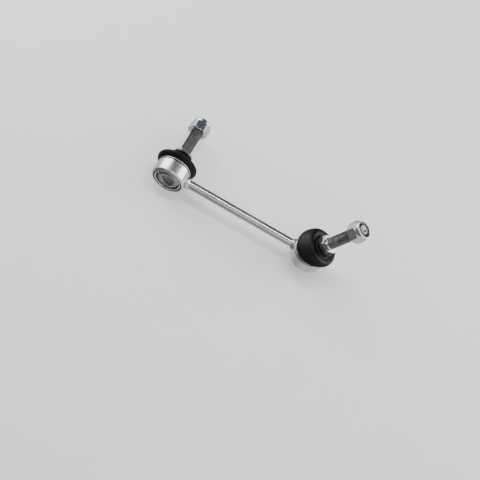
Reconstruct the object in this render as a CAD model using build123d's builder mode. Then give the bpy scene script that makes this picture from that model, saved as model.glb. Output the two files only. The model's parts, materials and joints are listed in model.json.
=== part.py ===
"""Stabiliser bar end link: a slim rod with a sealed ball joint at each end.

The two ball joints face at right angles to each other. Each one is a steel housing closed
by a rolled-in cover plate, a plastic seat, a ball stud with a hex collar and a threaded
shank, a rubber boot with its two rings, and a self-locking nut with a nylon insert.

Frame: origin at the centre of stud A's seat face, +X along the rod from end A to end B,
+Y along stud A and out of housing A, +Z out of housing B. Heights on a joint are measured
along its own axis from the centre of its ball.
"""
import os
from math import cos, radians, sin, sqrt

from build123d import *

os.makedirs("parts", exist_ok=True)

# Link
link_length = 135.0  # between the two ball centres, along the rod
rod_diameter = 7.5
rod_drop = 1.2  # the rod's axis lies this far behind each ball centre
weld_diameter = 10.2
weld_length = 3.4
weld_root = 1.5  # how far the bead reaches in under the housing's curved side

# Ball stud
ball_diameter = 14.0
neck_diameter = 8.0
neck_end = 9.5
boot_land_diameter = 12.4  # plain part of the stud that the boot grips
boot_land_start = 13.0
collar_start = 20.0
collar_thickness = 3.0
collar_flats = 15.0
thread_diameter = 10.0
thread_length = 36.8
thread_chamfer = 0.8

# Rest position of stud B
tilt_b = 27.5  # away from housing B's axis
tilt_azimuth_b = 26.0  # from +X towards +Y

# Turn of each hexagon about its stud
collar_turn = {"a": 8.0, "b": 40.0}
nut_turn = {"a": 0.0, "b": 30.0}

# Housing and cover plate
housing_diameter = 30.0
housing_front = 3.9
back_edge_width = 1.6
back_edge_height = 1.1
boot_seat_height = 2.3
boot_shoulder = 2.4  # step from the housing's side in to the boot seat
throat_gap = 0.6  # between the ball's widest part and the housing's throat
mouth_flare = 2.0  # how much wider the mouth is than the throat, on each side
cover_wall = 2.8  # housing wall round the cover plate
cover_sheet = 0.8
cover_rim_thickness = 1.2
cover_ring_diameter = 14.0
cover_ring_height = 0.7
cover_gap = 0.3  # between the ball and the cover
cover_edge_gap = 0.1  # between the cover's dished part and the rolled lip
lip_width = 1.2
lip_thickness = 0.5

# Plastic seat
seat_wall = 3.0
ball_clearance = 0.05
seat_top = 3.4
seat_lip = 2.9
seat_flare = 0.5
seat_floor = 5.5

# Boot and its rings
boot_clearance = 0.1
boot_overhang = 3.4  # how far the bulge stands out past the housing's side
boot_bulge_height = 9.9
boot_bulge_rise = 1.6  # from the top of the ring's groove to the lower bulge, out and up
boot_groove_foot = 0.4  # rubber below the groove
boot_shoulder_rise = 0.36  # share of the way from the bulge to the neck
boot_shoulder_draw = 0.12
boot_waist_rise = 0.70
boot_waist_draw = 0.53
boot_inner_waist_rise = 0.59
boot_wall = 1.7
boot_foot_wall = 1.5
boot_neck_wall = 1.9
boot_neck_height = 1.6
boot_cavity_gap = 0.6  # between the housing's boot seat and the boot's hollow
boot_cavity_flare = 0.5
boot_lean_margin = 1.2  # the boot leans fully this far below its neck
ring_wire = 0.9
ring_gap = 0.1
groove_depth = 0.7
neck_ring_width = 0.9
neck_ring_thickness = 0.7

# Self-locking nut
nut_flats = 16.0
nut_height = 12.0
nut_overlap = 0.2  # how far the nut's outer face stands past the shank's tip
nut_hex_height = 8.8
nut_chamfer = 1.0
nut_face_margin = 0.3  # from the flats in to the edge of the bearing face
nut_crown_diameter = 15.8
nut_crown_round = 1.3
nut_mouth_diameter = 13.2
thread_clearance = 0.05
insert_diameter = 14.8
insert_start = 9.0
insert_thickness = 2.4
insert_clearance = 0.03
nut_lead_in = 0.6

# Values worked out from the sizes above
ball_radius = ball_diameter / 2
housing_radius = housing_diameter / 2
rod_radius = rod_diameter / 2
thread_radius = thread_diameter / 2
boot_land_radius = boot_land_diameter / 2
collar_end = collar_start + collar_thickness
stud_tip = collar_end + thread_length
nut_start = stud_tip + nut_overlap - nut_height
boot_seat_radius = housing_radius - boot_shoulder
boot_seat_end = housing_front + boot_seat_height
throat_radius = ball_radius + throat_gap
mouth_radius = throat_radius + mouth_flare
cover_radius = housing_radius - cover_wall
rim_radius = cover_radius - lip_width
cover_inner = ball_radius + cover_gap
cover_outer = cover_inner + cover_rim_thickness
housing_back = cover_outer + lip_thickness
seat_radius = ball_radius + seat_wall
boot_foot = housing_front + boot_clearance
boot_foot_inner = boot_seat_radius + boot_clearance
boot_foot_outer = boot_foot_inner + boot_foot_wall
groove_start = boot_foot + boot_groove_foot
groove_end = groove_start + ring_wire + 2 * ring_gap
cavity_start = boot_seat_end + boot_cavity_gap
boot_neck_start = collar_start - boot_neck_height
boot_neck_end = collar_start - 2 * boot_clearance
boot_neck_inner = boot_land_radius + boot_clearance
boot_neck_outer = boot_neck_inner + boot_neck_wall
ball_centre = {
    "a": Vector(0, -collar_end, 0),
    "b": Vector(link_length, -collar_end - rod_drop, rod_drop),
}
rod_centre = ball_centre["a"] - Vector(0, rod_drop, 0)


def tilted(angle):
    """Direction of a line at end B that leans from the housing's axis by an angle."""
    lean = sin(radians(angle))
    azimuth = radians(tilt_azimuth_b)
    return Vector(lean * cos(azimuth), lean * sin(azimuth), cos(radians(angle)))


def joint_frame(end, height=0.0, angle=0.0):
    """Plane across a joint's axis at a height, leaning by an angle at end B."""
    if end == "a":
        axis = Vector(0, 1, 0)
        across = Vector(1, 0, 0)
    else:
        axis = tilted(angle)
        azimuth = radians(tilt_azimuth_b)
        across = Vector(-sin(azimuth), cos(azimuth), 0)
    return Plane(origin=ball_centre[end] + axis * height, x_dir=across, z_dir=axis)


def stud_frame(end, height=0.0):
    """Plane across a stud's axis at a height from its ball's centre."""
    return joint_frame(end, height, tilt_b)


def hexagon(across_flats, turn):
    """Hexagon on the current sketch, with one corner turned from the plane's X axis."""
    RegularPolygon(across_flats / 2, side_count=6, major_radius=False, rotation=turn)


def section_plane(frame):
    """Plane through a frame's axis: local X is the radius, local Y the height."""
    return Plane(origin=frame.origin, x_dir=frame.x_dir, z_dir=-frame.y_dir)


def turned_about(frame):
    """Axis that a section drawn on section_plane(frame) is revolved about."""
    return Axis(frame.origin, frame.z_dir)


def save(piece, name):
    """Label a piece with its name and write it as its own STEP file."""
    piece.part.label = name
    export_step(piece.part, f"parts/{name}.step")


def make_rod():
    with BuildPart() as rod:
        with BuildSketch(Plane(origin=rod_centre, z_dir=(1, 0, 0))):
            Circle(rod_radius)
        extrude(amount=link_length)
        for end in "ab":
            with BuildSketch(joint_frame(end)):
                Circle(housing_radius)
            extrude(amount=housing_diameter, both=True, mode=Mode.SUBTRACT)
    save(rod, "rod")


def make_weld(end):
    """Weld bead round the rod where it meets a housing."""
    outward = 1 if end == "a" else -1
    foot = rod_centre.X if end == "a" else rod_centre.X + link_length
    root = foot + outward * housing_radius
    start = root - outward * weld_root
    with BuildPart() as weld:
        with BuildSketch(Plane(origin=(0, rod_centre.Y, 0), x_dir=(1, 0, 0), z_dir=(0, 0, 1))):
            with BuildLine():
                Polyline(
                    (start, rod_radius),
                    (start, weld_diameter / 2),
                    (root, weld_diameter / 2),
                    (root + outward * weld_length, rod_radius),
                    close=True,
                )
            make_face()
        revolve(axis=Axis((0, rod_centre.Y, 0), (1, 0, 0)))
        with BuildSketch(joint_frame(end)):
            Circle(housing_radius)
        extrude(amount=housing_diameter, both=True, mode=Mode.SUBTRACT)
    save(weld, f"weld_{end}")


def make_housing(end):
    """Steel cup: a bore for the seat, a rolled rim at the back, a boot seat in front."""
    frame = joint_frame(end)
    with BuildPart() as housing:
        with BuildSketch(section_plane(frame)):
            with BuildLine():
                Polyline(
                    (rim_radius, -housing_back),
                    (housing_radius - back_edge_width, -housing_back),
                    (housing_radius, -housing_back + back_edge_height),
                    (housing_radius, housing_front),
                    (boot_seat_radius, housing_front),
                    (boot_seat_radius, boot_seat_end),
                    (mouth_radius, boot_seat_end),
                    (throat_radius, seat_top),
                    (seat_radius, seat_top),
                    (seat_radius, -cover_inner),
                    (cover_radius, -cover_inner),
                    (cover_radius, -cover_outer),
                    (rim_radius, -cover_outer),
                    close=True,
                )
            make_face()
        revolve(axis=turned_about(frame))
    save(housing, f"housing_{end}")


def make_cover_plate(end):
    """Pressed disc that closes the back, with a raised ring round a dished middle."""
    frame = joint_frame(end)
    ring_radius = cover_ring_diameter / 2
    dish = -cover_inner - cover_sheet
    ring_top = dish - cover_ring_height
    with BuildPart() as cover:
        with BuildSketch(section_plane(frame)):
            with BuildLine():
                Polyline(
                    (0, -cover_inner),
                    (cover_radius, -cover_inner),
                    (cover_radius, -cover_outer),
                    (rim_radius - cover_edge_gap, -cover_outer),
                    (ring_radius + 2 * cover_sheet, dish),
                    (ring_radius + cover_sheet / 2, ring_top),
                    (ring_radius - cover_sheet / 2, ring_top),
                    (ring_radius - 2 * cover_sheet, dish),
                    (0, dish),
                    close=True,
                )
            make_face()
        revolve(axis=turned_about(frame))
    save(cover, f"cover_plate_{end}")


def make_ball_seat(end):
    """Plastic liner that holds the ball past its middle and leaves room for the neck."""
    frame = joint_frame(end)
    socket = ball_radius + ball_clearance
    floor_radius = sqrt(socket**2 - seat_floor**2)
    lip_radius = sqrt(socket**2 - seat_lip**2)
    with BuildPart() as seat:
        with BuildSketch(section_plane(frame)):
            with BuildLine():
                ThreePointArc((floor_radius, -seat_floor), (socket, 0), (lip_radius, seat_lip))
                Polyline(
                    (lip_radius, seat_lip),
                    (lip_radius + seat_flare, seat_top),
                    (seat_radius, seat_top),
                    (seat_radius, -cover_inner),
                    (floor_radius, -cover_inner),
                    (floor_radius, -seat_floor),
                )
            make_face()
        revolve(axis=turned_about(frame))
    save(seat, f"ball_seat_{end}")


def make_ball_stud(end):
    """One forging: ball, neck, land for the boot, hex collar and threaded shank."""
    frame = stud_frame(end)
    neck_radius = neck_diameter / 2
    neck_start = sqrt(ball_radius**2 - neck_radius**2)
    with BuildPart() as stud:
        with BuildSketch(section_plane(frame)):
            with BuildLine():
                ThreePointArc((0, -ball_radius), (ball_radius, 0), (neck_radius, neck_start))
                Polyline(
                    (neck_radius, neck_start),
                    (neck_radius, neck_end),
                    (boot_land_radius, boot_land_start),
                    (boot_land_radius, collar_end),
                    (thread_radius, collar_end),
                    (thread_radius, stud_tip - thread_chamfer),
                    (thread_radius - thread_chamfer, stud_tip),
                    (0, stud_tip),
                    (0, -ball_radius),
                )
            make_face()
        revolve(axis=turned_about(frame))
        with BuildSketch(stud_frame(end, collar_start)):
            hexagon(collar_flats, collar_turn[end])
        extrude(amount=collar_thickness)
    save(stud, f"ball_stud_{end}")


def lean_at(height):
    """How far a boot section leans at end B: none at its foot, all of it at its neck."""
    share = (height - cavity_start) / (boot_neck_start - boot_lean_margin - cavity_start)
    return tilt_b * min(max(share, 0.0), 1.0)


def make_boot(end):
    """Hollow rubber boot from the housing to the stud, grooved for the outer ring."""
    frame = joint_frame(end)
    bulge = housing_radius + boot_overhang
    rise = boot_neck_start - boot_bulge_height
    draw = bulge - boot_neck_outer
    shoulder_radius = bulge - draw * boot_shoulder_draw
    waist_radius = bulge - draw * boot_waist_draw
    shoulder = boot_bulge_height + rise * boot_shoulder_rise
    outer = [
        (groove_end, boot_foot_outer),
        (groove_end + boot_bulge_rise, bulge - boot_bulge_rise),
        (boot_bulge_height, bulge),
        (shoulder, shoulder_radius),
        (boot_bulge_height + rise * boot_waist_rise, waist_radius),
        (boot_neck_start, boot_neck_outer),
    ]
    inner = [
        (cavity_start, boot_foot_inner + boot_cavity_flare),
        (boot_bulge_height, bulge - boot_wall),
        (shoulder, shoulder_radius - boot_wall),
        (boot_bulge_height + rise * boot_inner_waist_rise, waist_radius - boot_wall),
        (boot_neck_start - boot_lean_margin, boot_neck_inner),
    ]
    with BuildPart() as boot:
        for height, radius in outer:
            with BuildSketch(joint_frame(end, height, lean_at(height))):
                Circle(radius)
        loft()
        with BuildSketch(section_plane(frame)):
            with BuildLine():
                Polyline(
                    (boot_foot_inner, boot_foot),
                    (boot_foot_outer, boot_foot),
                    (boot_foot_outer, groove_start),
                    (boot_foot_outer - groove_depth, groove_start),
                    (boot_foot_outer - groove_depth, groove_end),
                    (boot_foot_outer, groove_end),
                    (boot_foot_outer, groove_end + boot_groove_foot),
                    (boot_foot_inner, groove_end + boot_groove_foot),
                    close=True,
                )
            make_face()
        revolve(axis=turned_about(frame))
        with BuildSketch(joint_frame(end, boot_foot)):
            Circle(boot_foot_inner)
        extrude(amount=cavity_start - boot_foot, mode=Mode.SUBTRACT)
        for height, radius in inner:
            with BuildSketch(joint_frame(end, height, lean_at(height))):
                Circle(radius)
        loft(mode=Mode.SUBTRACT)
        with BuildSketch(stud_frame(end, boot_neck_start)):
            Circle(boot_neck_outer)
        extrude(amount=boot_neck_end - boot_neck_start)
        with BuildSketch(stud_frame(end, neck_end)):
            Circle(boot_neck_inner)
        extrude(amount=collar_start - neck_end, mode=Mode.SUBTRACT)
    save(boot, f"boot_{end}")


def make_boot_ring(end):
    """Ring of wire that holds the boot's foot on the housing."""
    frame = joint_frame(end)
    inner = boot_foot_outer - groove_depth + ring_gap
    start = groove_start + ring_gap
    with BuildPart() as ring:
        with BuildSketch(section_plane(frame)):
            with Locations((inner + ring_wire / 2, start + ring_wire / 2)):
                Circle(ring_wire / 2)
        revolve(axis=turned_about(frame))
    save(ring, f"boot_ring_{end}")


def make_neck_ring(end):
    """Flat ring that grips the boot's neck round the stud."""
    inner = boot_neck_outer + boot_clearance
    start = boot_neck_end - neck_ring_width
    with BuildPart() as ring:
        with BuildSketch(stud_frame(end, start)):
            Circle(inner + neck_ring_thickness)
            Circle(inner, mode=Mode.SUBTRACT)
        extrude(amount=neck_ring_width)
    save(ring, f"neck_ring_{end}")


def make_lock_nut(end):
    """Hex nut with a rounded crown rolled over its nylon insert."""
    frame = stud_frame(end, nut_start)
    corner = nut_flats / sqrt(3)
    crown = nut_crown_diameter / 2
    bore = thread_radius + thread_clearance
    pocket = insert_diameter / 2
    insert_end = insert_start + insert_thickness
    with BuildPart() as nut:
        with BuildSketch(frame):
            hexagon(nut_flats, nut_turn[end])
        extrude(amount=nut_height)
        with BuildSketch(section_plane(frame)):
            with BuildLine():
                Polyline(
                    (crown, nut_height - nut_crown_round),
                    (crown, nut_hex_height),
                    (corner, nut_hex_height - nut_chamfer),
                    (corner, nut_chamfer),
                    (nut_flats / 2 - nut_face_margin, 0),
                    (0, 0),
                    (0, nut_height),
                    (crown - nut_crown_round, nut_height),
                )
                RadiusArc(
                    (crown - nut_crown_round, nut_height),
                    (crown, nut_height - nut_crown_round),
                    nut_crown_round,
                )
            make_face()
        revolve(axis=turned_about(frame), mode=Mode.INTERSECT)
        with BuildSketch(section_plane(frame)):
            with BuildLine():
                Polyline(
                    (0, 0),
                    (bore + nut_lead_in, 0),
                    (bore, nut_lead_in),
                    (bore, insert_start),
                    (pocket, insert_start),
                    (pocket, insert_end),
                    (nut_mouth_diameter / 2, insert_end),
                    (nut_mouth_diameter / 2, nut_height),
                    (0, nut_height),
                    close=True,
                )
            make_face()
        revolve(axis=turned_about(frame), mode=Mode.SUBTRACT)
    save(nut, f"lock_nut_{end}")


def make_nut_insert(end):
    """Nylon ring inside the nut's crown."""
    start = nut_start + insert_start + insert_clearance
    with BuildPart() as insert:
        with BuildSketch(stud_frame(end, start)):
            Circle(insert_diameter / 2 - insert_clearance)
            Circle(thread_radius + thread_clearance, mode=Mode.SUBTRACT)
        extrude(amount=insert_thickness - 2 * insert_clearance)
    save(insert, f"nut_insert_{end}")


make_rod()
for end in "ab":
    make_weld(end)
    make_housing(end)
    make_cover_plate(end)
    make_ball_seat(end)
    make_ball_stud(end)
    make_boot(end)
    make_boot_ring(end)
    make_neck_ring(end)
    make_lock_nut(end)
    make_nut_insert(end)
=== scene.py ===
"""Looks of the stabiliser bar end link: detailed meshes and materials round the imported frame."""

import json
from math import atan2, ceil, cos, pi, radians, sin, sqrt, tan

import bpy
import numpy as np
from mathutils import Matrix, Vector


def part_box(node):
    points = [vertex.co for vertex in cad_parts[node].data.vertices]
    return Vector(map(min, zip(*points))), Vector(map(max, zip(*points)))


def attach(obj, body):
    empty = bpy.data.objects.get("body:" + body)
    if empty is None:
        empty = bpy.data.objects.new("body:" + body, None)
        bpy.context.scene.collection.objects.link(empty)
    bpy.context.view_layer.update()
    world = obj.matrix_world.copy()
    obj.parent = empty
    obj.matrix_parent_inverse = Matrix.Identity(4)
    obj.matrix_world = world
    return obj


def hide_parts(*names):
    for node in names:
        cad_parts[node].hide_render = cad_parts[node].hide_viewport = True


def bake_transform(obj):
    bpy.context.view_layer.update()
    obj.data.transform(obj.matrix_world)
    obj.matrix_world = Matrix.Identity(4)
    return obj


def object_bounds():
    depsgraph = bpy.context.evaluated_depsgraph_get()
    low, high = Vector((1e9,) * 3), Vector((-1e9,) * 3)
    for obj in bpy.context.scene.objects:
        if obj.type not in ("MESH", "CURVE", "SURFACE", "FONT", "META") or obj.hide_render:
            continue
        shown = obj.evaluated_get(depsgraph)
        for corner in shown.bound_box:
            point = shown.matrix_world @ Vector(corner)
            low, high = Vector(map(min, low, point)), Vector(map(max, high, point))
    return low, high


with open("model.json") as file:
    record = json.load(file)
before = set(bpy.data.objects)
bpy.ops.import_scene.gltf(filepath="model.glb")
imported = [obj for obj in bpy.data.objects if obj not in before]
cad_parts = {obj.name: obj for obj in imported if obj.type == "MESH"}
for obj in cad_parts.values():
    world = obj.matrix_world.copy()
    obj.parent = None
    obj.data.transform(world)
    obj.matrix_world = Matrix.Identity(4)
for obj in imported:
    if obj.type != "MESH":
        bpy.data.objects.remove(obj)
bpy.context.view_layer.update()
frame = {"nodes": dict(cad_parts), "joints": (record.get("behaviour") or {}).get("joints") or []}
joints = {j["name"]: j for j in frame["joints"]}
MM = 0.001
ENDS = "ab"

# Sizes in millimetres. Heights are along a joint's axis from its ball's centre.
ROD_RADIUS, ROD_INSET = 3.75, 13.2
HOUSING_RADIUS, HOUSING_FRONT, HOUSING_BACK = 15.0, 3.9, 9.0
SEAM_INNER, SEAM_OUTER, SEAM_FLOOR = 12.3, 13.1, 8.1
PLATE_RADIUS, PLATE_FRONT, PLATE_BACK = 12.1, 7.3, 8.45
BALL_RADIUS, NECK_RADIUS, LAND_RADIUS = 7.0, 4.0, 6.2
COLLAR_FLATS, COLLAR_START, COLLAR_END = 15.0, 20.0, 23.0
THREAD_RADIUS, THREAD_PITCH, THREAD_DEPTH = 5.0, 1.5, 0.78
SHANK_TIP, TIP_RADIUS, TIP_CHAMFER = 59.8, 3.7, 1.0
NUT_FLATS, NUT_START, NUT_END = 16.0, 48.0, 60.0
NUT_BORE, INSERT_LENGTH = 5.06, 2.95
WIRE_RADIUS, RING_RADIUS, RING_HEIGHT = 0.55, 14.35, 5.3
CLIP_INNER, CLIP_OUTER, CLIP_LOW, CLIP_HIGH = 8.25, 9.0, 18.9, 19.8

# Turn of each hexagon about its stud, in degrees.
COLLAR_TURN = {"a": 8.0, "b": 40.0}
NUT_TURN = {"a": 0.0, "b": 30.0}

# A boot follows the housing up to its start and the stud from its end on, both in mm from the
# ball. They lie in a direction between the two axes: share 0 is the housing's, 1 the stud's.
BOOT_START = {"a": 5.8, "b": 6.2}
BOOT_END = {"a": 14.5, "b": 17.8}
BOOT_LEAN_SHARE = 0.4
# The bulge is narrower in the plane of the lean and wider along the tilt axis by this share,
# and is shifted in that plane by this many mm.
BOOT_SQUEEZE = {"a": 0.0, "b": 0.045}
BOOT_DRIFT = {"a": 0.0, "b": 1.0}

# The studio that polished steel mirrors. Each part has its brightness (the card its darkness),
# and the two values between which it fades in: of the direction's X either way, -Y or -Z, or
# of its cosine with the card's direction.
TENT_BASE = 0.08
TENT_SIDE, SIDE_FADE = 0.8, (0.18, 0.62)
TENT_FRONT, FRONT_FADE = 0.32, (0.15, 1.0)
TENT_BELOW, BELOW_FADE = 0.55, (0.45, 0.8)
CARD_DIRECTION, CARD_DARKNESS, CARD_FADE = (-0.67, -0.70, -0.25), 0.92, (0.55, 0.92)
PAPER_TINT = (1.0, 0.997, 0.99)
WORLD_LEVEL, FLOOR_DARK, FLOOR_LIGHT = 0.9, 0.86, 0.89


# ---------------------------------------------------------------- frames

def unit(v):
    """The vector at length 1."""
    v = np.array(v, float)
    return v / np.linalg.norm(v)


def make_frame(origin, axis, across):
    """Origin in mm, with local x across the axis and local z along it."""
    z = unit(axis)
    x = unit(np.array(across, float) - np.dot(across, z) * z)
    return np.array(origin, float), x, np.cross(z, x), z


BALL = {e: np.array(joints["swivel_" + e]["pos_m"]) / MM for e in ENDS}
HOUSING_AXIS = {e: unit(joints["swivel_" + e]["axis"]) for e in ENDS}
STUD_AXIS = {e: unit(joints["spin_" + e]["axis"]) for e in ENDS}
TILT_AXIS = {e: unit(joints["tilt_" + e]["axis"]) for e in ENDS}
HOUSING_FRAME = {e: make_frame(BALL[e], HOUSING_AXIS[e], TILT_AXIS[e]) for e in ENDS}
STUD_FRAME = {e: make_frame(BALL[e], STUD_AXIS[e], TILT_AXIS[e]) for e in ENDS}
rod_low, rod_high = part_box("rod")
ROD_CENTRE = np.array((rod_low + rod_high) / 2) / MM
ROD_FRAME = make_frame((0, ROD_CENTRE[1], ROD_CENTRE[2]), (1, 0, 0), (0, 0, 1))


# ---------------------------------------------------------------- outlines

def rounded(corners, steps=5):
    """Closed outline from (radius, height, fillet) corners, each fillet an arc."""
    points = []
    count = len(corners)
    for i, (r, h, fillet) in enumerate(corners):
        here = np.array((r, h), float)
        if fillet <= 0:
            points.append(here)
            continue
        back = np.array(corners[i - 1][:2], float) - here
        ahead = np.array(corners[(i + 1) % count][:2], float) - here
        reach = min(np.linalg.norm(back), np.linalg.norm(ahead)) * 0.48
        back, ahead = unit(back), unit(ahead)
        half = np.arccos(np.clip(back @ ahead, -1, 1)) / 2
        setback = min(fillet / tan(half), reach)
        radius = setback * tan(half)
        centre = here + unit(back + ahead) * radius / sin(half)
        first = here + back * setback - centre
        last = here + ahead * setback - centre
        turn = atan2(first[0] * last[1] - first[1] * last[0], first @ last)
        for k in range(steps + 1):
            a = turn * k / steps
            spun = (first[0] * cos(a) - first[1] * sin(a), first[0] * sin(a) + first[1] * cos(a))
            points.append(centre + spun)
    return np.array(points)


def dense(points, low, high, step, closed=True):
    """The outline with its edges cut to at most step long between two heights."""
    out = []
    count = len(points)
    for i in range(count if closed else count - 1):
        a, b = points[i], points[(i + 1) % count]
        middle = (a[1] + b[1]) / 2
        cuts = max(1, ceil(np.linalg.norm(b - a) / step)) if low <= middle <= high else 1
        out.extend(a + (b - a) * k / cuts for k in range(cuts))
    if not closed:
        out.append(points[-1])
    return np.array(out)


def smooth_path(points, steps):
    """Catmull-Rom curve through open outline points."""
    p = [np.array(q, float) for q in points]
    p = [2 * p[0] - p[1]] + p + [2 * p[-1] - p[-2]]
    out = []
    for i in range(1, len(p) - 2):
        for k in range(steps):
            t = k / steps
            a = 2 * p[i]
            b = (p[i + 1] - p[i - 1]) * t
            c = (2 * p[i - 1] - 5 * p[i] + 4 * p[i + 1] - p[i + 2]) * t**2
            d = (3 * p[i] - p[i - 1] - 3 * p[i + 1] + p[i + 2]) * t**3
            out.append((a + b + c + d) / 2)
    out.append(p[-2])
    return out


# ---------------------------------------------------------------- meshes

def finish_mesh(name, vertices, faces, crease=40.0):
    """Smooth-shaded object from points in mm, with edges sharper than crease degrees kept."""
    mesh = bpy.data.meshes.new(name)
    mesh.from_pydata([tuple(v) for v in np.asarray(vertices) * MM], [], faces)
    mesh.validate()
    mesh.shade_smooth()
    mesh.set_sharp_from_angle(angle=radians(crease))
    piece = bpy.data.objects.new(name, mesh)
    bpy.context.scene.collection.objects.link(piece)
    return piece


def lathe(name, where, outline, segments=96, shape=None, move=None, crease=40.0):
    """Closed solid swept round a frame's axis, from (radius, height) points.

    shape(r, h, angles) gives the radius at each angle, and move(vertices) the final places.
    """
    on_axis = 1e-6
    origin, x, y, z = where
    outline = np.asarray(outline, float)
    angles = np.arange(segments) * 2 * pi / segments
    vertices, rows = [], []
    for r, h in outline:
        if r < on_axis:
            rows.append([len(vertices)] * segments)
            vertices.append(origin + h * z)
            continue
        radius = np.full(segments, r) if shape is None else shape(r, h, angles)
        rows.append(list(range(len(vertices), len(vertices) + segments)))
        ring = np.outer(radius * np.cos(angles), x) + np.outer(radius * np.sin(angles), y)
        vertices.extend(origin + h * z + ring)
    faces = []
    count = len(rows)
    for i in range(count):
        a, b = rows[i], rows[(i + 1) % count]
        if a[0] == a[1] and b[0] == b[1]:
            continue
        for k in range(segments):
            n = (k + 1) % segments
            corners = [a[k], a[n], b[n], b[k]]
            face = list(dict.fromkeys(corners))
            if len(face) > 2:
                faces.append(face)
    vertices = np.array(vertices)
    if move is not None:
        vertices = move(vertices)
    piece = finish_mesh(name, vertices, faces, crease)
    orient(piece)
    return piece


def orient(piece):
    """Turn the faces outwards if the closed mesh is inside out."""
    mesh = piece.data
    mesh.calc_loop_triangles()
    co = np.zeros(len(mesh.vertices) * 3)
    mesh.vertices.foreach_get("co", co)
    co = co.reshape(-1, 3)
    tri = np.array([t.vertices[:] for t in mesh.loop_triangles])
    a, b, c = co[tri[:, 0]], co[tri[:, 1]], co[tri[:, 2]]
    if np.einsum("ij,ij->i", a, np.cross(b, c)).sum() < 0:
        mesh.flip_normals()


def smooth_min(a, b, blend):
    """The lower of two values, rounded where they are closer than blend."""
    near = np.maximum(blend - np.abs(a - b), 0) / blend
    return np.minimum(a, b) - near**2 * blend / 4


def hexagon(flats, turn, angles, sharpness=70):
    """Distance from the axis to a hexagon's side in each direction, corners eased."""
    sides = radians(turn + 30) + np.arange(6) * pi / 3
    reach = np.maximum(np.cos(angles[:, None] - sides[None, :]), 0)
    return flats / 2 / (reach**sharpness).sum(1) ** (1 / sharpness)


def paint_faces(piece, where, choose):
    """Give each face the material slot from choose(radius, height, facing), in mm and 0 to 1."""
    origin, axis = where[0] * MM, where[3]
    for face in piece.data.polygons:
        offset = (np.array(face.center) - origin) / MM
        height = offset @ axis
        radius = sqrt(max(offset @ offset - height**2, 0))
        face.material_index = choose(radius, height, abs(np.array(face.normal) @ axis))


# ---------------------------------------------------------------- materials

def add_node(tree, kind, inputs, **settings):
    """New node with its settings, each input linked to a socket or set to a value."""
    made = tree.nodes.new(kind)
    for key, value in settings.items():
        setattr(made, key, value)
    for key, value in inputs.items():
        if isinstance(value, bpy.types.NodeSocket):
            tree.links.new(value, made.inputs[key])
        else:
            made.inputs[key].default_value = value
    return made


def add_mix(tree, factor, a, b):
    """Colour a where factor is 0, and b where it is 1."""
    inputs = {0: factor, 6: a, 7: b}
    return add_node(tree, "ShaderNodeMix", inputs, data_type="RGBA").outputs[2]


def add_math(tree, operation, *values):
    """Result of one operation on sockets or numbers."""
    inputs = dict(enumerate(values))
    return add_node(tree, "ShaderNodeMath", inputs, operation=operation).outputs[0]


class Nodes:
    """Short forms for building one material's node tree."""

    def __init__(self, name, **constants):
        self.material = bpy.data.materials.new(name)
        self.material.use_nodes = True
        self.tree = self.material.node_tree
        self.shader = self.tree.nodes["Principled BSDF"]
        for socket, value in constants.items():
            self.shader.inputs[socket.replace("_", " ")].default_value = value
        self.place = self.tree.nodes.new("ShaderNodeTexCoord").outputs["Object"]

    def node(self, kind, inputs):
        return add_node(self.tree, kind, inputs)

    def scaled(self, factors, turn=(0, 0, 0)):
        """The object's own coordinates, stretched and turned, for marks that run one way."""
        inputs = {"Vector": self.place, "Scale": factors, "Rotation": turn}
        return self.node("ShaderNodeMapping", inputs).outputs["Vector"]

    def noise(self, scale, detail=4.0, rough=0.55, where=None):
        inputs = {"Vector": where or self.place, "Scale": scale, "Detail": detail,
                  "Roughness": rough}
        return self.node("ShaderNodeTexNoise", inputs).outputs["Fac"]

    def span(self, value, low, high, out_low=0.0, out_high=1.0):
        """The value's range low to high spread over out_low to out_high."""
        inputs = {"Value": value, "From Min": low, "From Max": high,
                  "To Min": out_low, "To Max": out_high}
        return self.node("ShaderNodeMapRange", inputs).outputs["Result"]

    def mix(self, factor, a, b):
        return add_mix(self.tree, factor, a, b)

    def math(self, operation, a, b):
        return add_math(self.tree, operation, a, b)

    def bump(self, height, strength, distance, before=None):
        """Relief from a height, on top of the relief before it. Distance is in metres."""
        inputs = {"Height": height, "Strength": strength, "Distance": distance}
        if before is not None:
            inputs["Normal"] = before
        return self.node("ShaderNodeBump", inputs).outputs["Normal"]

    def set(self, socket, value):
        """Link a result to the material's shader."""
        self.tree.links.new(value, self.shader.inputs[socket])


def grey(level, tint=(1.0, 1.0, 1.0)):
    """Linear colour of one brightness, slightly tinted."""
    return tuple(level * t for t in tint) + (1.0,)


def edge_wear(n):
    """1 on proud edges, 0 elsewhere, broken up by noise."""
    point = n.tree.nodes.new("ShaderNodeNewGeometry").outputs["Pointiness"]
    edge = n.span(point, 0.52, 0.60)
    return n.math("MULTIPLY", edge, n.span(n.noise(900.0), 0.35, 0.6))


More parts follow.
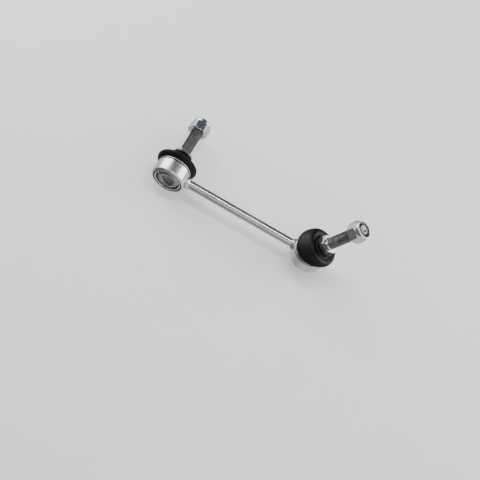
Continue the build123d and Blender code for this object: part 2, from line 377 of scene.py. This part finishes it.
def plated_steel(name, level, roughness, stretch, tint=(0.97, 1.0, 0.985)):
    """Zinc-plated steel: cloudy plating, fine marks and brighter edges.

    level is its brightness, and stretch the marks' fineness along X, Y and Z.
    """
    n = Nodes(name, Metallic=1.0)
    clouds = n.noise(120.0, 5.0)
    marks = n.noise(1.0, 3.0, 0.6, n.scaled(stretch))
    base = n.mix(n.span(clouds, 0.3, 0.7), grey(level * 0.9, tint), grey(level * 1.05, tint))
    streaked = n.mix(n.span(marks, 0.38, 0.62, 0.0, 0.35), base, grey(level * 0.72, tint))
    n.set("Base Color", n.mix(edge_wear(n), streaked, grey(0.95)))
    rough = n.math("ADD", n.span(clouds, 0.3, 0.7, roughness - 0.05, roughness + 0.06),
                   n.span(marks, 0.3, 0.7, -0.03, 0.05))
    n.set("Roughness", rough)
    fine = n.bump(marks, 0.25, 0.00004)
    n.set("Normal", n.bump(n.noise(420.0, 2.0), 0.12, 0.0001, fine))
    return n.material


def dark_steel(name, level):
    """Rolled, phosphated thread: brown-grey with dry lighter patches and oily dark ones."""
    n = Nodes(name, Metallic=0.85)
    patches = n.noise(260.0, 6.0, 0.65)
    speckle = n.noise(1500.0, 3.0)
    base = n.mix(n.span(patches, 0.35, 0.68), grey(level * 0.55, (1.0, 0.96, 0.92)),
                 grey(level * 1.5, (1.0, 0.985, 0.95)))
    n.set("Base Color", n.mix(n.span(speckle, 0.55, 0.75, 0.0, 0.6), base, grey(0.42)))
    n.set("Roughness", n.span(patches, 0.3, 0.7, 0.32, 0.58))
    n.set("Normal", n.bump(speckle, 0.35, 0.00012))
    return n.material


def bright_zinc(name):
    """Bright nut plating: faintly blue, with small handling marks."""
    n = Nodes(name, Metallic=1.0)
    clouds = n.noise(200.0, 4.0)
    scratch = n.noise(1.0, 2.0, 0.5, n.scaled((300.0, 2600.0, 300.0), (0.4, 0.7, 0.2)))
    base = n.mix(n.span(clouds, 0.3, 0.7), grey(0.60, (0.94, 0.98, 1.05)),
                 grey(0.78, (0.98, 1.0, 1.02)))
    worn = n.math("MULTIPLY", edge_wear(n), 0.4)
    n.set("Base Color", n.mix(worn, base, grey(0.95)))
    n.set("Roughness", n.span(clouds, 0.3, 0.7, 0.16, 0.27))
    n.set("Normal", n.bump(scratch, 0.12, 0.00003))
    return n.material


def rubber(name):
    """Smooth black rubber with fine grain, and faint bloom."""
    n = Nodes(name, Metallic=0.0, Specular_IOR_Level=0.2)
    bloom = n.noise(70.0, 5.0, 0.6)
    grain = n.noise(2400.0, 2.0)
    n.set("Base Color", n.mix(n.span(bloom, 0.45, 0.75), grey(0.0025, (1.0, 1.0, 1.08)),
                              grey(0.007, (1.0, 0.99, 0.98))))
    n.set("Roughness", n.span(bloom, 0.3, 0.75, 0.38, 0.52))
    soft = n.bump(n.noise(160.0, 3.0), 0.2, 0.0003)
    n.set("Normal", n.bump(grain, 0.14, 0.00006, soft))
    return n.material


def moulded(name, low, high, rough_low, rough_high):
    """Moulded plastic, blackened wire or black painted shade: slight mottling and a fine grain."""
    n = Nodes(name)
    mottle = n.noise(300.0, 3.0)
    n.set("Base Color", n.mix(n.span(mottle, 0.3, 0.7), low, high))
    n.set("Roughness", n.span(mottle, 0.3, 0.7, rough_low, rough_high))
    n.set("Normal", n.bump(n.noise(1800.0, 2.0), 0.15, 0.00006))
    return n.material


def weld_steel(name):
    """Plated weld bead: bright ripples with duller, slightly browned toes."""
    n = Nodes(name, Metallic=1.0)
    scale = n.noise(500.0, 4.0)
    n.set("Base Color", n.mix(n.span(scale, 0.35, 0.7), grey(0.70), grey(0.45, (1.0, 0.97, 0.92))))
    n.set("Roughness", n.span(scale, 0.3, 0.7, 0.18, 0.36))
    n.set("Normal", n.bump(scale, 0.3, 0.00015))
    return n.material


MATERIALS = {
    "rod": plated_steel("rod_steel", 0.74, 0.26, (60.0, 2600.0, 2600.0)),
    "housing_a": plated_steel("housing_steel_a", 0.74, 0.22, (500.0, 3200.0, 500.0)),
    "housing_b": plated_steel("housing_steel_b", 0.74, 0.22, (500.0, 500.0, 3200.0)),
    # The cover is the housing's plated steel at under half the brightness: painted shade on its
    # end face.
    "cover": plated_steel("cover_steel", 0.30, 0.24, (700.0, 700.0, 700.0)),
    # Darker copies again, as painted shade in the sunk groove and as painted shade and dark
    # reflection in the bowl.
    "groove": plated_steel("cover_groove_painted_shade", 0.08, 0.45, (700.0, 700.0, 700.0)),
    "bowl": plated_steel("cover_bowl_painted_shade", 0.14, 0.3, (700.0, 700.0, 700.0)),
    # Black painted shade at the bottom of the housing's seam groove.
    "seam": moulded("seam_painted_shade", grey(0.012), grey(0.03), 0.4, 0.55),
    "weld": weld_steel("weld_steel"),
    "stud": dark_steel("stud_steel", 0.14),
    "collar": plated_steel("collar_steel", 0.70, 0.2, (900.0, 900.0, 900.0)),
    "tip": plated_steel("tip_steel", 0.30, 0.36, (900.0, 900.0, 900.0)),
    "nut": bright_zinc("nut_steel"),
    "rubber": rubber("boot_rubber"),
    "ring": plated_steel("ring_steel", 0.66, 0.27, (800.0, 800.0, 800.0)),
    "dark_ring": moulded("neck_ring_black", grey(0.012), grey(0.03), 0.35, 0.5),
    "nylon": moulded("insert_nylon", grey(0.008, (0.9, 0.95, 1.3)),
                     grey(0.02, (0.9, 0.95, 1.3)), 0.3, 0.42),
    "seat": moulded("seat_acetal", grey(0.72, (1.0, 0.98, 0.93)),
                    grey(0.8, (1.0, 0.98, 0.94)), 0.35, 0.5),
}


def dress(piece, body, node, slot, *materials):
    """Give a piece its materials, its body (None if it is blended) and its CAD node. The slot is
    not used.
    """
    for m in materials:
        piece.data.materials.append(MATERIALS[m])
    if body is not None:
        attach(piece, body)
    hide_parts(node)
    return piece


# ---------------------------------------------------------------- pieces

def make_rod():
    """Drawn rod with its ends let into both housings."""
    start, end = ROD_INSET, BALL["b"][0] - ROD_INSET
    edge = 0.3
    outline = rounded([(0, start, 0), (ROD_RADIUS, start, edge), (ROD_RADIUS, end, edge),
                       (0, end, 0)])
    cut = dense(outline, start, end, 2.0)

    def drawn(r, h, angles):
        """Slow waves of a hundredth of a millimetre, as drawing leaves."""
        wave = 0.012 * np.sin(3 * angles + h * 0.05) + 0.008 * np.sin(7 * angles - h * 0.11)
        return r + wave * (r / ROD_RADIUS)

    rod = lathe("steel_rod", ROD_FRAME, cut, 72, drawn)
    dress(rod, "link", "rod", "zinc_steel", "rod")


def make_weld(end):
    """Rippled bead that follows the housing's round side and runs out on the rod."""
    outer, toe, root = 5.1, ROD_RADIUS - 0.15, ROD_RADIUS - 0.6
    reach, overlap, depth = 3.4, 0.5, 1.2
    ripples = 13
    outward = 1 if end == "a" else -1
    ball_x = BALL[end][0]
    across = 2 if end == "a" else 1
    segments, rows = 104, 14
    vertices, faces = [], []

    def put(along, direction, radius):
        """Add a point at a distance from the ball's centre along the rod and from its axis."""
        centre = np.array([ball_x + outward * along, ROD_CENTRE[1], ROD_CENTRE[2]])
        vertices.append(centre + direction * radius)

    for k in range(segments):
        a = 2 * pi * k / segments
        direction = np.array([0.0, cos(a), sin(a)])
        side = outer * direction[across]
        base = sqrt(HOUSING_RADIUS**2 - side**2)
        for i in range(rows):
            t = i / (rows - 1)
            bulge = sin(pi * t)
            step = abs(sin((a * ripples + 2.2 * t + 0.6 * sin(2 * a)) / 2))
            radius = outer + (toe - outer) * t**1.25
            radius += bulge * (0.28 + 0.22 * step) + 0.06 * sin(3 * a + 1.0)
            along = base - overlap + (reach + overlap) * t + 0.12 * sin(5 * a)
            put(along, direction, radius)
        put(base + (reach - 0.2), direction, root)
        put(base - depth, direction, root)
        put(base - depth, direction, outer)
    ring = rows + 3
    for k in range(segments):
        n = (k + 1) % segments
        for i in range(ring):
            j = (i + 1) % ring
            faces.append([k * ring + i, n * ring + i, n * ring + j, k * ring + j])
    weld = finish_mesh("weld_bead_" + end, vertices, faces, 60.0)
    orient(weld)
    dress(weld, "link", "weld_" + end, "weld_steel", "weld")


def make_housing(end):
    """Turned cup with a lip rolled over the cover, its seam groove and the seat for the boot."""
    gap = 0.05
    outline = rounded([
        (11.0, -PLATE_BACK, 0.12),
        (11.3, -HOUSING_BACK + 0.1, 0.3),
        (12.1, -HOUSING_BACK + 0.1, 0.2),
        (SEAM_INNER, -SEAM_FLOOR, 0.1),
        (SEAM_OUTER, -SEAM_FLOOR, 0.1),
        (13.4, -HOUSING_BACK, 0.25),
        (13.8, -HOUSING_BACK, 0.4),
        (HOUSING_RADIUS, -7.75, 1.2),
        (HOUSING_RADIUS, HOUSING_FRONT, 0.55),
        (12.6, HOUSING_FRONT, 0.2),
        (12.6, 6.2, 0.3),
        (9.6, 6.2, 0.3),
        (7.6, 3.4, 0.2),
        (10.0, 3.4, 0.2),
        (10.0, -PLATE_FRONT - gap, 0.2),
        (PLATE_RADIUS + gap, -PLATE_FRONT - gap, 0.15),
        (PLATE_RADIUS + gap, -PLATE_BACK, 0.1),
    ], 6)
    cut = dense(outline, -8.0, 5.0, 0.9)

    def turned(r, h, angles):
        """Tool marks and a slight ovality on the outside."""
        if r < 13.0:
            return np.full(len(angles), r)
        return r + 0.012 * np.sin(2 * angles + 0.7) + 0.01 * sin(h * 9.0)

    def in_painted_seam_shade(radius, height, facing):
        """1, black painted shade in the seam, for the groove's floor and the lower part of its
        walls.
        """
        margin = 0.2
        low, high = -HOUSING_BACK + 0.15, -SEAM_FLOOR + 0.1
        return int(SEAM_INNER - margin < radius < SEAM_OUTER + margin and low < height < high)

    housing = lathe("ball_housing_" + end, HOUSING_FRAME[end], cut, 144, turned)
    dress(housing, "link", "housing_" + end, "zinc_steel", "housing_" + end, "seam")
    paint_faces(housing, HOUSING_FRAME[end], in_painted_seam_shade)


def make_cover(end):
    """Pressed cover: a sunk groove, a broad raised ring and a bowl in the middle, painted dark as
    shade.
    """
    outline = rounded([
        (0, -PLATE_FRONT, 0),
        (PLATE_RADIUS, -PLATE_FRONT, 0.2),
        (PLATE_RADIUS, -PLATE_BACK, 0.2),
        (10.85, -PLATE_BACK, 0.1),
        (10.5, -7.8, 0.15),
        (9.9, -7.8, 0.2),
        (9.2, -8.3, 0.4),
        (8.3, -8.8, 0.6),
        (6.5, -8.8, 0.4),
        (5.4, -7.95, 0.5),
        (2.6, -7.62, 1.5),
        (0, -7.5, 0),
    ], 6)

    def painted_shade_groove_or_bowl(radius, height, facing):
        """1 for the sunk groove's painted shade, 2 for the bowl's painted shade and 0 elsewhere.
        """
        if 9.7 < radius < 10.8 and -8.4 < height < -7.6:
            return 1
        return 2 if radius < 5.6 and height < -7.4 else 0

    cover = lathe("cover_plate_pressed_" + end, HOUSING_FRAME[end], outline, 144)
    dress(cover, "link", "cover_plate_" + end, "cover_steel", "cover", "groove", "bowl")
    paint_faces(cover, HOUSING_FRAME[end], painted_shade_groove_or_bowl)


def make_boot_ring(end):
    """Spring wire ring in the boot's groove."""
    sides = 14
    turns = np.arange(sides) * 2 * pi / sides
    outline = np.stack([RING_RADIUS + WIRE_RADIUS * np.cos(turns),
                        RING_HEIGHT + WIRE_RADIUS * np.sin(turns)], 1)
    ring = lathe("wire_ring_" + end, HOUSING_FRAME[end], outline, 144, crease=80.0)
    dress(ring, "link", "boot_ring_" + end, "ring_steel", "ring")


def make_neck_ring(end):
    """Flat black clip round the boot's neck."""
    outline = rounded([
        (CLIP_INNER, CLIP_LOW, 0.15),
        (CLIP_OUTER, CLIP_LOW, 0.25),
        (CLIP_OUTER, CLIP_HIGH, 0.25),
        (CLIP_INNER, CLIP_HIGH, 0.15),
    ], 4)
    ring = lathe("neck_clip_" + end, STUD_FRAME[end], outline, 96)
    dress(ring, "boot_neck_" + end, "neck_ring_" + end, "dark_ring", "dark_ring")


def boot_span(end):
    """Points between which the boot turns from its foot to its neck, in mm."""
    lean = unit(HOUSING_AXIS[end] * (1 - BOOT_LEAN_SHARE) + STUD_AXIS[end] * BOOT_LEAN_SHARE)
    return BALL[end] + lean * BOOT_START[end], BALL[end] + lean * BOOT_END[end]


def bend_boot(end):
    """Function that leans a straight boot so that tilting the stud back straightens it."""
    start, stop = boot_span(end)
    axis = TILT_AXIS[end]
    rest = atan2(np.cross(HOUSING_AXIS[end], STUD_AXIS[end]) @ axis,
                 HOUSING_AXIS[end] @ STUD_AXIS[end])
    span = stop - start

    def turn(points, angle):
        """Points turned about the tilt axis, each by its own angle."""
        c, s = np.cos(angle)[:, None], np.sin(angle)[:, None]
        along = (points @ axis)[:, None] * axis
        return points * c + np.cross(axis, points) * s + along * (1 - c)

    def bend(vertices):
        """Search for the share of the lean that the blend will give to each bent point."""
        rounds, damping = 60, 0.5
        straight = vertices - BALL[end]
        share = np.zeros(len(straight))
        for _ in range(rounds):
            here = turn(straight, rest * share) + BALL[end]
            t = np.clip((here - start) @ span / (span @ span), 0, 1)
            share = damping * share + (1 - damping) * t * t * (3 - 2 * t)
        return turn(straight, rest * share) + BALL[end]

    return bend


def make_boot(end):
    """Rubber boot: grooved foot, round bulge, a dip round the neck and a gripping lip."""
    foot = [(12.75, 3.98), (14.75, 3.98), (14.94, 4.1), (14.94, 4.5), (14.7, 4.68),
            (13.8, 4.72), (13.75, 5.3), (13.8, 5.9), (14.3, 6.0), (14.6, 6.15)]
    bulge = {
        "a": [(14.6, 6.15), (15.8, 6.65), (17.3, 7.7), (18.2, 9.2), (18.1, 10.5), (17.0, 11.5),
              (15.0, 12.5), (12.8, 13.4), (10.8, 14.4), (9.3, 15.6), (8.5, 17.0), (8.15, 18.4)],
        "b": [(14.6, 6.15), (15.1, 6.8), (15.9, 8.1), (16.7, 9.8), (17.0, 11.4), (16.7, 13.0),
              (15.7, 14.5), (14.0, 15.4), (12.1, 15.45), (10.4, 15.2), (9.2, 15.8),
              (8.45, 17.2), (8.15, 18.4)],
    }
    outer = smooth_path(bulge[end], 6)
    lip = [(8.15, 18.85), (8.12, 19.7), (8.0, 19.82), (6.4, 19.82), (6.3, 19.7)]
    inner = smooth_path([(6.3, 17.6), (6.9, 15.2), (8.8, 13.3), (11.6, 12.2), (14.2, 11.3),
                         (15.8, 10.4), (16.4, 9.3), (15.9, 8.2), (14.6, 7.1), (13.1, 6.75)], 5)
    outline = np.array([*foot, *outer[1:], *lip, *inner, (12.75, 6.6)])

    def moulded_shape(r, h, angles):
        """Slightly uneven bulge, squeezed and shifted between the foot and the neck."""
        soft = 0.05 * np.sin(2 * angles + 0.4 + h * 0.2) + 0.03 * np.sin(5 * angles - h * 0.3)
        inside = min(max((h - 5.9) / 2.5, 0), 1) * min(max((18 - h) / 3, 0), 1)
        squeeze = BOOT_SQUEEZE[end] * np.cos(2 * angles)
        drift = -BOOT_DRIFT[end] * np.sin(angles)
        return r * (1 + squeeze * inside) + (soft + drift) * inside

    boot = lathe("rubber_boot_" + end, STUD_FRAME["a"] if end == "a" else HOUSING_FRAME[end],
                 outline, 128, moulded_shape, bend_boot(end), 50.0)
    dress(boot, None, "boot_" + end, "rubber", "rubber")
    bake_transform(boot)


def make_stud(end):
    """Ball, neck, boot land, chamfered hex collar and a real helical thread."""
    corner = COLLAR_FLATS / sqrt(3)
    thread_start = COLLAR_END + 1.6
    core = THREAD_RADIUS - THREAD_DEPTH
    neck_angle = atan2(NECK_RADIUS, sqrt(BALL_RADIUS**2 - NECK_RADIUS**2))
    ball = [(BALL_RADIUS * sin(a), -BALL_RADIUS * cos(a))
            for a in np.linspace(0, pi - neck_angle, 26)]
    body = rounded([
        (NECK_RADIUS, 6.2, 0),
        (NECK_RADIUS, 9.5, 0.8),
        (LAND_RADIUS, 13.0, 0.6),
        (LAND_RADIUS, COLLAR_START, 0.15),
        (corner - 0.7, COLLAR_START, 0.15),
        (corner + 0.1, COLLAR_START + 0.35, 0.15),
        (corner + 0.1, COLLAR_END - 0.4, 0.15),
        (corner - 0.8, COLLAR_END, 0.2),
        (THREAD_RADIUS + 0.35, COLLAR_END, 0.3),
        (core + 0.35, COLLAR_END + 0.7, 0.2),
        (core + 0.35, thread_start, 0.2),
        (THREAD_RADIUS, thread_start + 0.6, 0),
    ], 4)[1:]
    thread = [(THREAD_RADIUS, h)
              for h in np.arange(thread_start + 0.7, SHANK_TIP - 1.05, THREAD_PITCH / 12)]
    tip = rounded([
        (THREAD_RADIUS, SHANK_TIP - TIP_CHAMFER, 0),
        (TIP_RADIUS, SHANK_TIP, 0.12),
        (2.6, SHANK_TIP, 0.2),
        (1.9, SHANK_TIP - 0.35, 0.3),
        (0, SHANK_TIP - 0.75, 0),
    ], 4)
    outline = np.vstack([ball, dense(body, COLLAR_START - 0.1, COLLAR_END + 0.1, 0.16, False),
                         thread, tip])

    def forged(r, h, angles):
        """Hexagonal collar and helical thread, which starts shallow. All else is round."""
        if COLLAR_START - 0.05 <= h <= COLLAR_END + 0.05 and r > 6.3:
            return smooth_min(np.full(len(angles), r),
                              hexagon(COLLAR_FLATS, COLLAR_TURN[end], angles), 0.3)
        if h > thread_start + 0.3 and r > core + 0.3:
            phase = (h / THREAD_PITCH - angles / (2 * pi)) % 1.0
            tooth = np.clip(np.abs(phase - 0.5) * 2 * 1.35 - 0.12, 0, 1)
            fade = min(1, (h - thread_start) / 1.2)
            return np.minimum(r, core + THREAD_DEPTH * (1 - tooth * fade))
        return np.full(len(angles), r)

    def collar_or_tip(radius, height, facing):
        """1 for the bright collar and the undercut above it, 2 for the tip's flat end."""
        if COLLAR_START - 0.1 < height < COLLAR_END + 0.9:
            return 1
        return 2 if height > SHANK_TIP - 0.8 and facing > 0.85 else 0

    stud = lathe("threaded_stud_" + end, STUD_FRAME[end], outline, 96, forged, crease=35.0)
    dress(stud, "stud_" + end, "ball_stud_" + end, "stud_steel", "stud", "collar", "tip")
    paint_faces(stud, STUD_FRAME[end], collar_or_tip)


def make_nut(end):
    """Hex nut with chamfered corners, a domed crown and a lip rolled over the insert."""
    corner = NUT_FLATS / sqrt(3)
    outline = rounded([
        (5.6, NUT_START, 0.1),
        (7.7, NUT_START, 0.15),
        (corner + 0.15, NUT_START + 0.85, 0.2),
        (corner + 0.15, NUT_START + 7.7, 0.2),
        (7.95, NUT_START + 8.75, 0.35),
        (7.95, NUT_START + 10.5, 0.6),
        (7.75, NUT_END, 0.8),
        (6.7, NUT_END, 0.35),
        (6.55, NUT_END - 0.75, 0.15),
        (7.35, NUT_END - 0.8, 0.1),
        (7.35, NUT_START + 9.0, 0.1),
        (NUT_BORE, NUT_START + 9.0, 0.1),
        (NUT_BORE, NUT_START + 0.6, 0.1),
    ], 6)
    cut = dense(outline, NUT_START - 1, NUT_START + 9.4, 0.2)

    def formed(r, h, angles):
        """The outside cut to a hexagon where it is wider than that."""
        if r < 7.45:
            return np.full(len(angles), r)
        return smooth_min(np.full(len(angles), r), hexagon(NUT_FLATS, NUT_TURN[end], angles), 0.25)

    nut = lathe("self_locking_nut_" + end, STUD_FRAME[end], cut, 180, formed, crease=50.0)
    dress(nut, "nut_" + end, "lock_nut_" + end, "nut_steel", "nut")


def make_insert(end):
    """Nylon ring with a dished outer face."""
    outline = rounded([
        (NUT_BORE, NUT_END - INSERT_LENGTH, 0.1),
        (7.3, NUT_END - INSERT_LENGTH, 0.1),
        (7.3, NUT_END - 0.83, 0.15),
        (6.5, NUT_END - 0.8, 0.3),
        (5.5, NUT_END - 1.05, 0.3),
        (NUT_BORE, NUT_END - 1.4, 0.15),
    ], 5)
    insert = lathe("nylon_insert_" + end, STUD_FRAME[end], outline, 96)
    dress(insert, "insert_" + end, "nut_insert_" + end, "nylon", "nylon")


make_rod()
for end in ENDS:
    make_weld(end)
    make_housing(end)
    make_cover(end)
    make_boot_ring(end)
    make_neck_ring(end)
    make_boot(end)
    make_stud(end)
    make_nut(end)
    make_insert(end)
    seat = frame["nodes"]["ball_seat_" + end]
    seat.data.materials.clear()
    seat.data.materials.append(MATERIALS["seat"])


# ---------------------------------------------------------------- floor, light and camera

def make_floor():
    """Large pale floor at the part's lowest point. It isn't mirrored in the polished steel."""
    half, height = 4000.0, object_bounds()[0].z / MM
    corners = [(-half, -half, height), (half, -half, height), (half, half, height),
               (-half, half, height)]
    floor = finish_mesh("floor", np.array(corners), [(0, 1, 2, 3)])
    n = Nodes("floor_paper", Roughness=0.85)
    n.set("Base Color", n.mix(n.noise(40.0, 3.0), grey(FLOOR_DARK, PAPER_TINT),
                              grey(FLOOR_LIGHT, PAPER_TINT)))
    floor.data.materials.append(n.material)
    floor.visible_glossy = False


def softbox(name, direction, distance, size, power, tint=(1.0, 1.0, 1.0)):
    """Rectangular light that faces the middle of the part. Distance and size are in metres."""
    middle = Vector((67.0, -10.0, 10.0)) * MM
    light = bpy.data.lights.new(name, "AREA")
    light.shape = "RECTANGLE"
    light.size, light.size_y = size
    light.energy = power
    light.color = tint
    lamp = bpy.data.objects.new(name, light)
    lamp.location = middle + Vector(direction).normalized() * distance
    lamp.rotation_euler = (middle - lamp.location).to_track_quat("-Z", "Y").to_euler()
    bpy.context.scene.collection.objects.link(lamp)


def make_world():
    """Even pale light all round. Polished steel mirrors a tent instead: bright sides and floor,
    dim top, back and front, and one dark card."""
    world = bpy.data.worlds.new("studio")
    bpy.context.scene.world = world
    world.use_nodes = True
    tree = world.node_tree

    def fade(value, ends, top):
        inputs = {"Value": value, "From Min": ends[0], "From Max": ends[1], "To Max": top}
        made = add_node(tree, "ShaderNodeMapRange", inputs, interpolation_type="SMOOTHSTEP")
        return made.outputs["Result"]

    direction = tree.nodes.new("ShaderNodeTexCoord").outputs["Generated"]
    split = add_node(tree, "ShaderNodeSeparateXYZ", {0: direction}).outputs
    side = fade(add_math(tree, "ABSOLUTE", split["X"]), SIDE_FADE, TENT_SIDE)
    front = fade(add_math(tree, "MULTIPLY", split["Y"], -1.0), FRONT_FADE, TENT_FRONT)
    below = fade(add_math(tree, "MULTIPLY", split["Z"], -1.0), BELOW_FADE, TENT_BELOW)
    aim = add_node(tree, "ShaderNodeVectorMath", {0: direction, 1: CARD_DIRECTION},
                   operation="DOT_PRODUCT").outputs["Value"]
    clear = add_math(tree, "SUBTRACT", 1.0, fade(aim, CARD_FADE, CARD_DARKNESS))
    lit = add_math(tree, "ADD", add_math(tree, "MAXIMUM", side, below), front)
    tent = add_math(tree, "ADD", add_math(tree, "MULTIPLY", lit, clear), TENT_BASE)
    glossy = tree.nodes.new("ShaderNodeLightPath").outputs["Is Glossy Ray"]
    seen = add_mix(tree, glossy, grey(WORLD_LEVEL, PAPER_TINT), tent)
    tree.links.new(seen, tree.nodes["Background"].inputs["Color"])


def make_camera():
    """Camera at the photo's viewing angle, which was fitted together with the part's sizes."""
    azimuth, elevation, roll = radians(-3.25), radians(59.9), radians(32.6)
    target = Vector((78.1, -43.85, -5.0)) * MM
    distance = 774.0 * MM
    lens, sensor = 68.96, 36.0
    data = bpy.data.cameras.new("camera")
    data.lens = lens
    data.sensor_width = sensor
    data.clip_start, data.clip_end = 0.05, 20.0
    camera = bpy.data.objects.new("camera", data)
    back = Vector((sin(azimuth) * cos(elevation), -cos(azimuth) * cos(elevation), sin(elevation)))
    turn = (-back).to_track_quat("-Z", "Y").to_matrix() @ Matrix.Rotation(roll, 3, "Z")
    camera.matrix_world = Matrix.Translation(target + back * distance) @ turn.to_4x4()
    bpy.context.scene.collection.objects.link(camera)
    bpy.context.scene.camera = camera


make_floor()
make_world()
softbox("left_box", direction=(-0.9, 0.45, 0.4), distance=0.75, size=(0.5, 0.6), power=4.0,
        tint=(0.97, 0.99, 1.0))
softbox("right_box", direction=(0.85, 0.5, 0.4), distance=0.8, size=(0.45, 0.6), power=3.5,
        tint=(1.0, 0.99, 0.97))
softbox("top_strip", direction=(0.0, 0.16, 1.0), distance=0.9, size=(0.7, 0.09), power=3.0)
softbox("front_box", direction=(0.3, -1.0, 1.0), distance=1.2, size=(0.7, 0.4), power=1.2)
make_camera()
